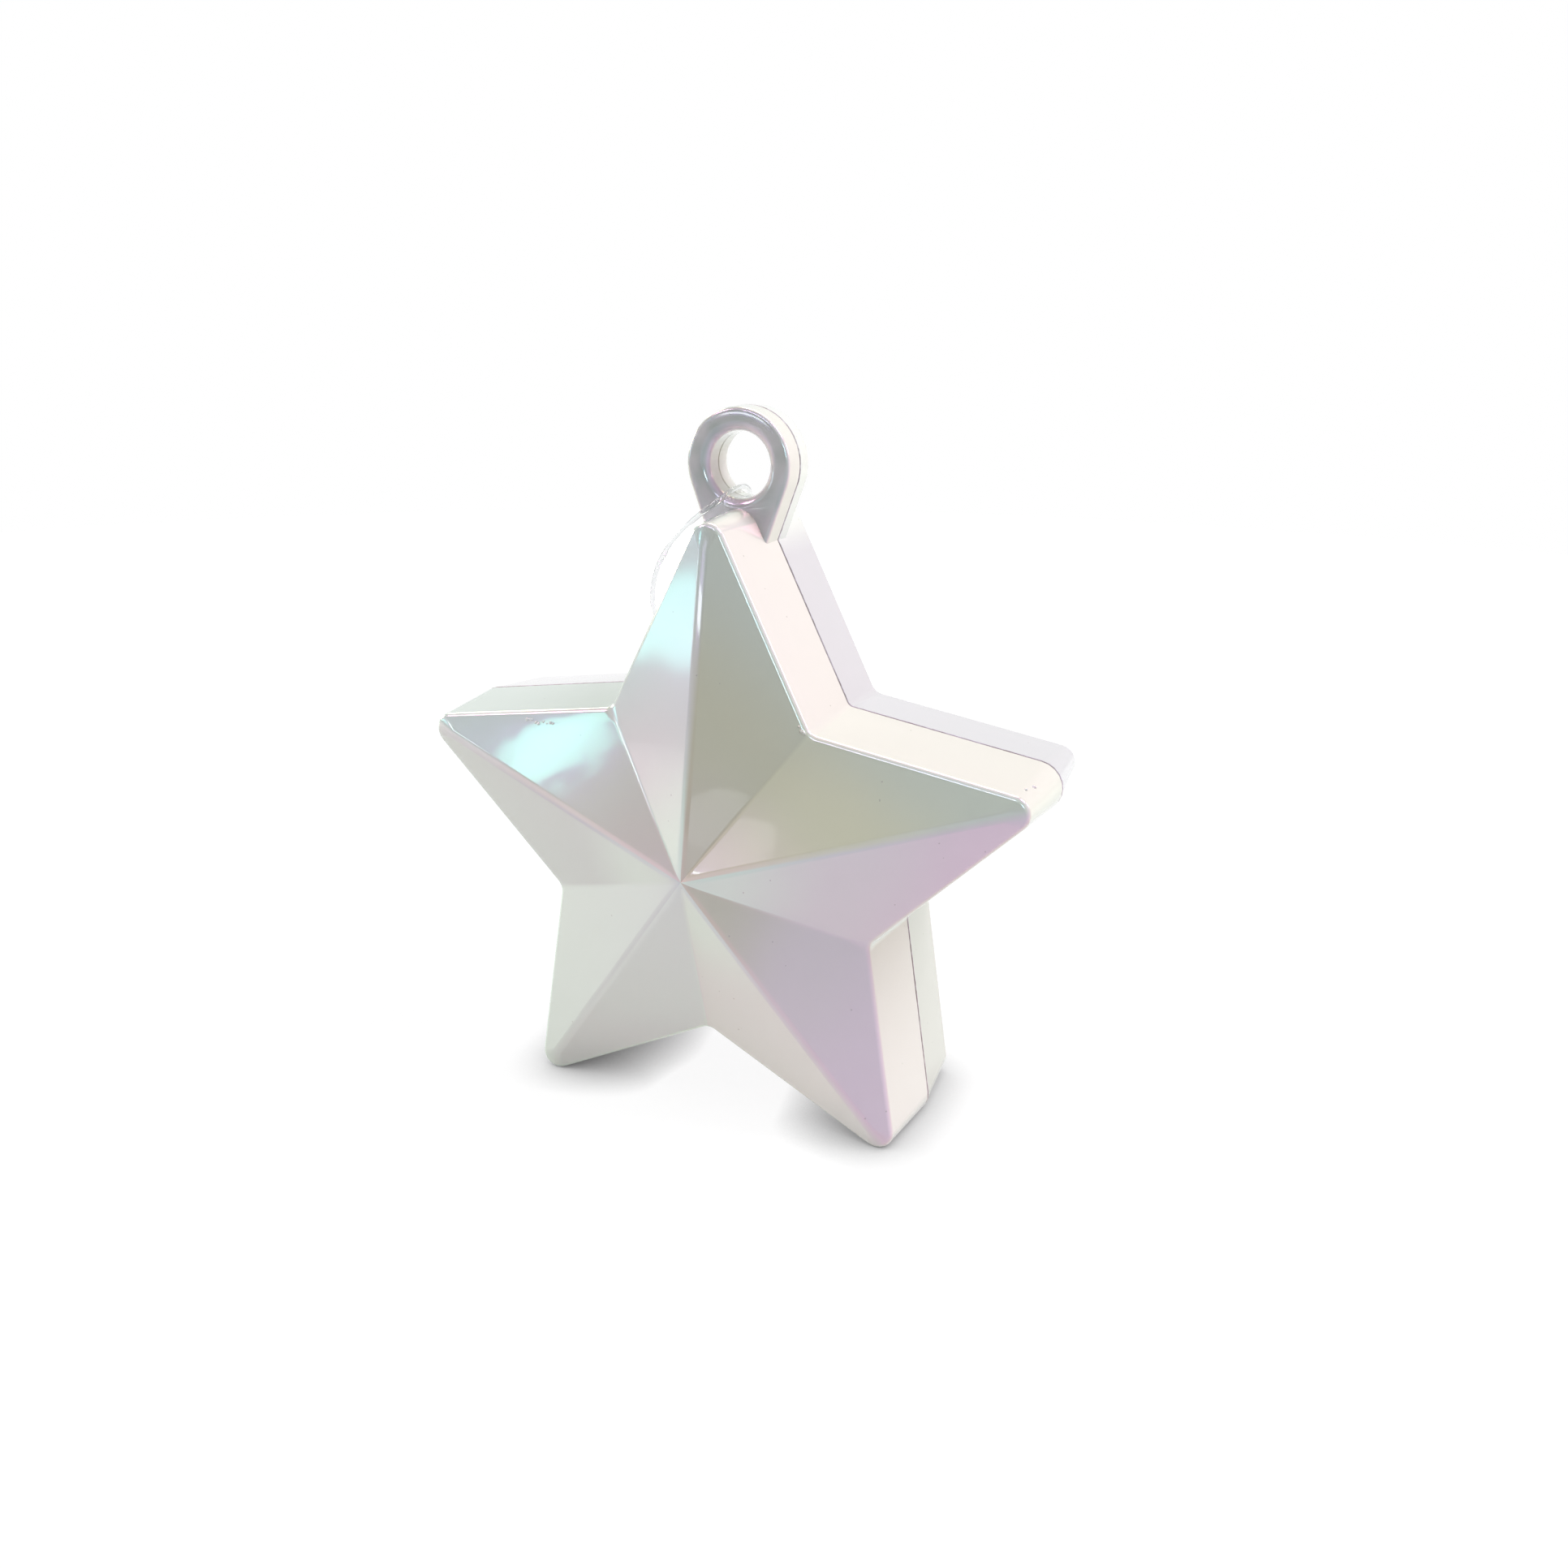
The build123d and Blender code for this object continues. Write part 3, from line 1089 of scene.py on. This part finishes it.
    def eye_reflection_mask(self, graph: StarGraph) -> NodeSocket:
        """Mask of the hanging eye's two faces, which get the painted reflection.

        Args:
            graph: The material's graph.

        Returns:
            The mask.
        """
        level = self.eye.half_depth
        near_eye = graph.remap(graph.from_eye, self.eye_face_fade, FALLING, smooth=True)
        raised = graph.remap(graph.depth, tuple(level + edge for edge in self.eye_face_edge))
        shallow = graph.math("LESS_THAN", graph.depth, level + self.eye_face_top)
        facing = graph.axes(graph.add("TexCoord").outputs["Normal"])[1]
        squarely = graph.remap(graph.math("ABSOLUTE", facing), self.eye_face_turn, smooth=True)
        return graph.product(shallow, squarely, raised, near_eye)

    def body_colour(self, graph: StarGraph) -> NodeSocket:
        """Tints the facets, the walls and the eye's faces, with a darker line along the seam and dust on
        them. The facet and wall tints carry painted sheen and painted shade, and the eye's faces a painted
        reflection.

        Args:
            graph: The material's graph.

        Returns:
            The colour.
        """
        rim = self.form.wall_depth
        front = graph.remap(graph.depth, (rim - self.rim_blend, rim))
        # The facet and wall tints bring in painted sheen and painted shade.
        body = graph.mix(front, self.walls(graph), self.facets(graph))
        # Painted reflection of the dim room on the eye's faces, in patches.
        cloud = graph.noise(graph.point, self.eye_reflection_scale, detail=1.0)
        ring = graph.ramp(cloud, [(stop, tint.value) for stop, tint in zip(self.eye_reflection_stops, self.eye_reflection_tints)])
        body = graph.mix(self.eye_reflection_mask(graph), body, ring)
        # Darkens a line along the seam groove.
        body = graph.mix(self.seam_darkening(graph), body, self.seam_dark)
        specks = graph.product(self.specks.mask(graph, graph.point), self.dust_strength)
        return graph.mix(specks, body, self.dust)

    def material(self) -> Material:
        """Builds the plastic.

        Returns:
            The material.
        """
        material, _ = new_material("pearl_plastic")
        graph = StarGraph(material.node_tree, self.form, self.eye)
        wave = graph.noise(graph.point, self.wave_scale, detail=1.0)
        normal = graph.bump(wave, strength=1.0, distance=self.wave_height)
        values = {
            "Base Color": self.body_colour(graph),
            "Roughness": self.roughness,
            "Normal": normal,
            "Coat Normal": normal,
            "Coat Weight": 1.0,
            "Coat Roughness": self.coat_roughness,
            "IOR": self.index,
            "Thin Film Thickness": self.film_thickness,
            "Thin Film IOR": self.film_index,
        }
        graph.surface("BsdfPrincipled", values)
        return material


@dataclass(frozen=True)
class GlueFinish:
    """Dried glue, cloudy and brown with trapped dirt."""

    dark: Colour = (0.10, 0.075, 0.065)
    pale: Colour = (0.36, 0.33, 0.32)
    roughness: float = 0.45
    cloud_scale: float = 90.0
    cloud_stops: Span = (0.42, 0.62)
    specks: DustSpecks = DustSpecks(scale=1500.0, share=0.5, size=0.1 * MM)

    def material(self) -> Material:
        """Builds the glue.

        Returns:
            The material.
        """
        material, graph = new_material("dried_glue")
        place = graph.place()
        cloud = graph.noise(place, self.cloud_scale, detail=3.0)
        tint = graph.ramp(cloud, list(zip(self.cloud_stops, (self.dark, self.pale))))
        body = graph.mix(self.specks.mask(graph, place), tint, self.dark)
        graph.surface("BsdfPrincipled", {"Base Color": body, "Roughness": self.roughness})
        return material


@dataclass(frozen=True)
class ClearFinish:
    """Clear drawn plastic of the filament and its lock."""

    colour: Colour = (0.86, 0.88, 0.88)
    shade: float = 0.94
    draw_scale: float = 900.0
    draw_stops: Span = (0.35, 0.75)
    roughness: float = 0.06
    index: float = 1.5

    def material(self) -> Material:
        """Builds the clear plastic.

        Returns:
            The material.
        """
        material, graph = new_material("clear_plastic")
        draw = graph.noise(graph.place(), self.draw_scale, detail=2.0)
        shaded = tuple(part * self.shade for part in self.colour)
        values = {
            "Base Color": graph.ramp(draw, list(zip(self.draw_stops, (self.colour, shaded)))),
            "Roughness": self.roughness,
            "IOR": self.index,
            "Transmission Weight": 1.0,
        }
        graph.surface("BsdfPrincipled", values)
        return material


@dataclass(frozen=True)
class MineralFinish:
    """Rough cast mineral of the core."""

    pale: Colour = (0.60, 0.58, 0.55)
    dark: Colour = (0.42, 0.41, 0.39)
    grain_scale: float = 400.0
    grain_stops: Span = (0.3, 0.7)
    grain_height: float = 0.2 * MM
    grain_strength: float = 0.5
    roughness: float = 0.85

    def material(self) -> Material:
        """Builds the mineral.

        Returns:
            The material.
        """
        material, graph = new_material("cast_mineral")
        grain = graph.noise(graph.place(), self.grain_scale, detail=6.0)
        values = {
            "Base Color": graph.ramp(grain, list(zip(self.grain_stops, (self.dark, self.pale)))),
            "Roughness": self.roughness,
            "Normal": graph.bump(grain, self.grain_strength, self.grain_height),
        }
        graph.surface("BsdfPrincipled", values)
        return material


@dataclass
class PhotoCamera:
    """Camera at the photograph's viewing angle."""

    place: Point = (70.48 * MM, -149.1 * MM, 94.72 * MM)
    yaw: float = 0.413323
    pitch: float = 0.321758
    roll: float = 0.013887
    frame_pixels: float = 1932.0
    focal_pixels: float = 1722.15
    sensor: float = 36.0
    clip: Span = (5 * MM, 10.0)

    def build(self) -> None:
        """Adds the camera and makes it the scene's."""
        data = bpy.data.cameras.new("photo_camera")
        data.sensor_width = self.sensor
        data.lens = self.sensor * self.focal_pixels / self.frame_pixels
        data.clip_start, data.clip_end = self.clip
        camera = new_object("photo_camera", data)
        turn = Matrix.Rotation(self.yaw, 4, "Z") @ Matrix.Rotation(math.pi / 2 - self.pitch, 4, "X")
        camera.matrix_world = Matrix.Translation(self.place) @ turn @ Matrix.Rotation(self.roll, 4, "Z")
        bpy.context.scene.camera = camera


@dataclass(frozen=True)
class LightPanel:
    """A soft-edged bright panel, placed and sized by angles in degrees seen from the star."""

    name: str
    azimuth: float
    elevation: float
    wide: float
    high: float
    radiance: float
    roll: float = 0.0
    distance: float = 0.55
    softness: float = 0.5
    folds: float = 0.0
    colour: Colour = (1.0, 1.0, 1.0)
    fold_scale: Point = (110.0, 45.0, 1.0)
    fold_noise: Span = (0.25, 0.75)
    fold_edge: Span = (0.2, 0.8)
    least_glow: float = 0.02

    def across(self, angle: float) -> float:
        """Length that covers the given angle at the panel's distance."""
        return 2 * self.distance * math.tan(math.radians(angle) / 2)

    def build(self, aim: Vector) -> None:
        """Builds the panel, which is a part of the stage.

        Args:
            aim: The point that the panel faces.
        """
        bm = bmesh.new()
        bmesh.ops.create_grid(bm, x_segments=1, y_segments=1, size=0.5)
        bmesh.ops.scale(bm, vec=Vector((self.across(self.wide), self.across(self.high), 1.0)), verts=bm.verts)
        panel = object_of(bm, self.name)
        panel.data.materials.append(self.material())
        azimuth, elevation = math.radians(self.azimuth), math.radians(self.elevation)
        flat = math.cos(elevation)
        heading = Vector((math.sin(azimuth) * flat, -math.cos(azimuth) * flat, math.sin(elevation)))
        turn = (-heading).to_track_quat("Z", "Y").to_matrix().to_4x4()
        roll = Matrix.Rotation(math.radians(self.roll), 4, "Z")
        panel.matrix_world = Matrix.Translation(aim + heading * self.distance) @ turn @ roll
        panel.visible_camera = False
        panel.visible_diffuse = False
        panel.visible_shadow = False

    def folded(self, graph: Graph, place: NodeSocket, glow: NodeSocket) -> NodeSocket:
        """Makes the glow uneven, as folds in the panel's cloth would.

        Args:
            graph: The material's graph.
            place: Object coordinates.
            glow: The even glow.

        Returns:
            The uneven glow.
        """
        stretched = graph.add("Mapping", {"Vector": place, "Scale": self.fold_scale}).outputs[0]
        cloud = graph.noise(stretched, scale=1.0, detail=3.0)
        ragged = graph.remap(cloud, self.fold_noise, (-self.folds / 2, self.folds / 2))
        torn = graph.remap(graph.math("ADD", glow, ragged), self.fold_edge, smooth=True)
        return graph.product(glow, torn)

    def material(self) -> Material:
        """Builds the panel's glow, which fades towards its edges.

        Returns:
            The material.
        """
        material, graph = new_material(self.name)
        place = graph.place()
        fades = []
        for along, angle in zip(graph.axes(place), (self.wide, self.high)):
            half = self.across(angle) / 2
            edge = (half * (1 - self.softness), half)
            fades.append(graph.remap(graph.math("ABSOLUTE", along), edge, FALLING, smooth=True))
        glow = graph.product(*fades)
        if self.folds:
            glow = self.folded(graph, place, glow)
        strength = graph.product(glow, self.radiance)
        light = graph.add("Emission", {"Color": self.colour, "Strength": strength}).outputs[0]
        clear = graph.add("BsdfTransparent").outputs[0]
        solid = graph.math("GREATER_THAN", glow, self.least_glow)
        graph.surface("MixShader", {0: solid, 1: clear, 2: light})
        return material


@dataclass(frozen=True)
class SoftBox:
    """A rectangular lamp that faces the star, with its power in watts."""

    name: str
    place: Point
    size: tuple[float, float]
    power: float
    mirrored: bool = True

    def build(self, aim: Vector) -> None:
        """Adds the lamp.

        Args:
            aim: The point that the lamp faces.
        """
        data = bpy.data.lights.new(self.name, "AREA")
        data.shape = "RECTANGLE"
        data.size, data.size_y = self.size
        data.energy = self.power
        lamp = new_object(self.name, data)
        lamp.location = self.place
        lamp.rotation_euler = (aim - Vector(self.place)).to_track_quat("-Z", "Y").to_euler()
        lamp.visible_glossy = self.mirrored


@dataclass
class Studio:
    """White table, dim wall in front, panels, lamps and sky."""

    table_radius: float = 0.57
    table_sides: int = 96
    table_tones: Span = (0.82, 0.13)
    table_lift: Span = (0.91, 1.0)
    lift_reach: Span = (0.1, 0.34)
    contact_reach: float = 0.006
    contact_power: float = 0.8
    contact_samples: int = 6
    wall_radius: float = 0.62
    wall_height: float = 0.50
    wall_level: float = 2.2
    wall_steps: int = 64
    wall_tones: tuple[tuple[float, float], ...] = ((-115.0, 0.1), (-20.0, 0.08), (20.0, 0.2), (58.0, 0.3))
    sky_levels: Span = (0.46, 1.0)
    aim: Point = (0.0, -0.015, 0.045)
    panels: tuple[LightPanel, ...] = (
        LightPanel("left_window", -63.0, 2.7, 18.0, 6.4, 6.0, colour=(0.3, 1.0, 0.85)),
        LightPanel("tip_glow", -63.5, 9.0, 14.0, 6.0, 2.6, softness=0.9, colour=(0.5, 0.8, 1.0)),
        LightPanel(
            "upper_window", -41.4, 15.5, 6.8, 20.0, 13.0, 29.0,
            softness=1.0, folds=1.2, colour=(0.3, 1.0, 0.73),
        ),
        LightPanel("ridge_strip", -24.5, 8.6, 17.0, 3.6, 11.0, colour=(0.85, 1.0, 0.85)),
        LightPanel("arm_strip", -50.0, 6.0, 7.0, 8.0, 12.0, colour=(0.5, 1.0, 0.75)),
        LightPanel("eye_window", -100.0, 12.0, 28.0, 16.0, 16.0),
        LightPanel("eye_top_window", -60.0, 42.0, 24.0, 20.0, 16.0),
        LightPanel("left_back_strip", -122.0, 34.0, 20.0, 20.0, 10.0),
        LightPanel("front_strip", 34.0, 17.0, 16.0, 22.0, 14.0, colour=(1.0, 0.94, 0.9)),
        LightPanel("front_top_strip", -8.0, 43.0, 40.0, 16.0, 12.0, colour=(1.0, 0.9, 0.9)),
        LightPanel("back_right_window", 122.0, 23.0, 20.0, 20.0, 10.0),
        LightPanel("back_top_window", 188.0, 64.0, 44.0, 36.0, 10.0, colour=(1.0, 1.0, 0.86)),
        LightPanel("low_card", 4.6, -4.1, 16.4, 4.8, 1.8, -6.0, softness=0.15, folds=0.4),
        LightPanel("high_card", -21.9, 13.4, 12.2, 7.5, 1.8, softness=0.15, folds=0.4),
    )
    lamps: tuple[SoftBox, ...] = (
        SoftBox("overhead_softbox", (0.38, 0.13, 0.59), (0.30, 0.30), 3.3),
        SoftBox("left_softbox", (-0.55, -0.06, 0.13), (0.32, 0.24), 2.9, mirrored=False),
    )

    def build(self) -> None:
        """Builds the table, the wall, the sky, the panels and the lamps."""
        self.build_table()
        self.build_wall()
        self.build_sky()
        for light in self.panels + self.lamps:
            light.build(Vector(self.aim))

    def build_table(self) -> None:
        """Builds the white table that the weight stands on."""
        bm = bmesh.new()
        bmesh.ops.create_circle(bm, cap_ends=True, segments=self.table_sides, radius=self.table_radius)
        table = object_of(bm, "table")
        material, graph = new_material("table_white")
        seen = self.seen(graph)
        reach = graph.add("VectorMath", {0: graph.place()}, operation="LENGTH").outputs["Value"]
        bright = graph.remap(reach, self.lift_reach, self.table_lift, smooth=True)
        near = {"Distance": self.contact_reach}
        open_share = graph.add("AmbientOcclusion", near, samples=self.contact_samples).outputs["AO"]
        contact = graph.math("POWER", open_share, self.contact_power)
        cloth = graph.add("BsdfDiffuse", {"Color": graph.remap(seen, RISING, self.table_tones)})
        glow = graph.add("Emission", {"Strength": graph.product(bright, contact, seen)})
        graph.surface("AddShader", {0: cloth.outputs[0], 1: glow.outputs[0]})
        table.data.materials.append(material)

    def build_wall(self) -> None:
        """Builds the dim wall that the front facets mirror."""
        start, end = (math.radians(azimuth) for azimuth, _ in (self.wall_tones[0], self.wall_tones[-1]))
        bm = bmesh.new()
        foot = Vector((math.sin(start), -math.cos(start), 0.0)) * self.wall_radius
        ends = [bm.verts.new(foot), bm.verts.new(foot + Vector((0.0, 0.0, self.wall_height)))]
        bmesh.ops.spin(
            bm,
            geom=[*ends, bm.edges.new(ends)],
            cent=Vector((0.0, 0.0, 0.0)),
            axis=Vector((0.0, 0.0, 1.0)),
            angle=end - start,
            steps=self.wall_steps,
            use_merge=False,
        )
        wall = object_of(bm, "dim_wall")
        material, graph = new_material("dim_wall")
        across, behind, _ = graph.axes(graph.place())
        turn = graph.math("ARCTAN2", across, graph.math("MULTIPLY", behind, -1.0))
        stops = []
        for azimuth, tone in self.wall_tones:
            stops.append(((math.radians(azimuth) - start) / (end - start), (tone,) * 3))
        tones = graph.ramp(graph.remap(turn, (start, end)), stops)
        graph.surface("Emission", {"Color": tones, "Strength": self.wall_level})
        wall.data.materials.append(material)
        wall.visible_camera = False

    def seen(self, graph: Graph) -> NodeSocket:
        """Finds the rays that show the white surroundings: camera, glossy and transmission.

        Args:
            graph: The material's graph.

        Returns:
            The mask.
        """
        path = graph.add("LightPath").outputs
        first = graph.math("MAXIMUM", path["Is Camera Ray"], path["Is Glossy Ray"])
        return graph.math("MAXIMUM", first, path["Is Transmission Ray"])

    def build_sky(self) -> None:
        """Sets the world, which is white to the camera and in reflections."""
        world = bpy.data.worlds.new("studio_sky")
        bpy.context.scene.world = world
        world.use_nodes = True
        graph = Graph(world.node_tree)
        white = {"Color": (1.0, 1.0, 1.0)}
        soft, full = (graph.add("Background", white | {"Strength": level}) for level in self.sky_levels)
        mixed = graph.add("MixShader", {0: self.seen(graph), 1: soft.outputs[0], 2: full.outputs[0]})
        graph.add("OutputWorld", {"Surface": mixed.outputs[0]})


def main() -> None:
    """Builds the camera, the weight and the studio in order."""
    logging.basicConfig(level=logging.INFO, format="%(name)s: %(message)s")
    bpy.context.scene.view_settings.view_transform = "Standard"
    PhotoCamera().build()
    form = StarForm()
    eye = HangingEye(form)
    pieces = TagLoop(eye, ClearFinish().material()).build()
    pearl = PearlFinish(form, eye).material()
    pieces += StarShells(form, eye, pearl).build()
    pieces.append(LacquerBlisters(form, pearl).build())
    pieces.append(SeamGlue(form, GlueFinish().material()).build())
    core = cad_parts["ballast_core"]
    core.data.materials.clear()
    core.data.materials.append(MineralFinish().material())
    pieces.append(core)
    Studio().build()
    for piece in pieces:
        LOG.info("%s: %s", piece.name, piece.type)


if __name__ == "__main__":
    main()
